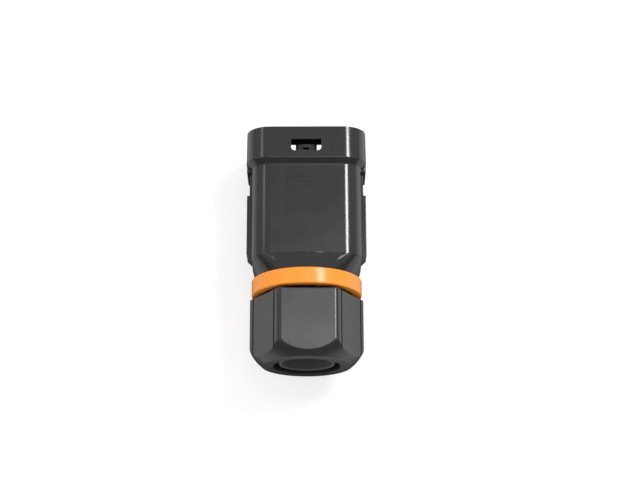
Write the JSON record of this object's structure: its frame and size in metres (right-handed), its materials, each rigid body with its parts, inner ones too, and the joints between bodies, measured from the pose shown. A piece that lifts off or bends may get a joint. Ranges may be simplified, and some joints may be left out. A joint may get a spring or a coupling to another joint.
{
  "type": "ac power connector",
  "caption": "Field-wired AC power connector: rectangular mating shroud with latch window and pin contacts, orange collar ring and hexagonal cable gland nut.",
  "frame": {"origin": "centre of the mating mouth, on the connector's axis", "axes": "+Y out of the mating mouth, -Y out of the cable gland, +Z out of the front panel with the latch window, +X to the right seen from the gland"},
  "size_m": [0.0364, 0.0713, 0.0332],
  "materials": {
    "housing_black": "satin black glass-filled plastic",
    "nut_black": "satin black moulded plastic",
    "collar_orange": "glossy orange plastic",
    "carrier_black": "fine matte black plastic",
    "retainer_grey": "matte dark grey plastic",
    "claw_black": "matte black plastic",
    "seal_rubber": "soft dark rubber",
    "contact_plated": "silver-plated turned metal",
    "screw_steel": "zinc-plated steel",
    "guard_steel": "stamped spring steel"
  },
  "bodies": {
    "housing_body": {"housing": "housing_black", "collar_ring": "collar_orange", "contact_carrier": "carrier_black", "carrier_seal": "seal_rubber", "contact_retainer": "retainer_grey", "contact_line": "contact_plated", "contact_earth": "contact_plated", "contact_neutral": "contact_plated", "wire_guard_line": "guard_steel", "wire_guard_earth": "guard_steel", "wire_guard_neutral": "guard_steel", "terminal_screws": "screw_steel"},
    "claw_body": {"clamping_claw": "claw_black", "cable_seal": "seal_rubber"},
    "nut_body": {"gland_nut": "nut_black"}
  },
  "joints": [
    {"name": "claw_slide", "type": "slide", "parent": "housing_body", "child": "claw_body", "axis": [0, -1, 0], "range_m": [0, 0.009]},
    {"name": "nut_turn", "type": "hinge", "parent": "claw_body", "child": "nut_body", "pos_m": [0, -0.06, 0], "axis": [0, -1, 0], "range_deg": [0, 2160]}
  ],
  "couplings": [
    {"joint": "claw_slide", "follows": "nut_turn", "m_per_rad": 0.00023873}
  ]
}
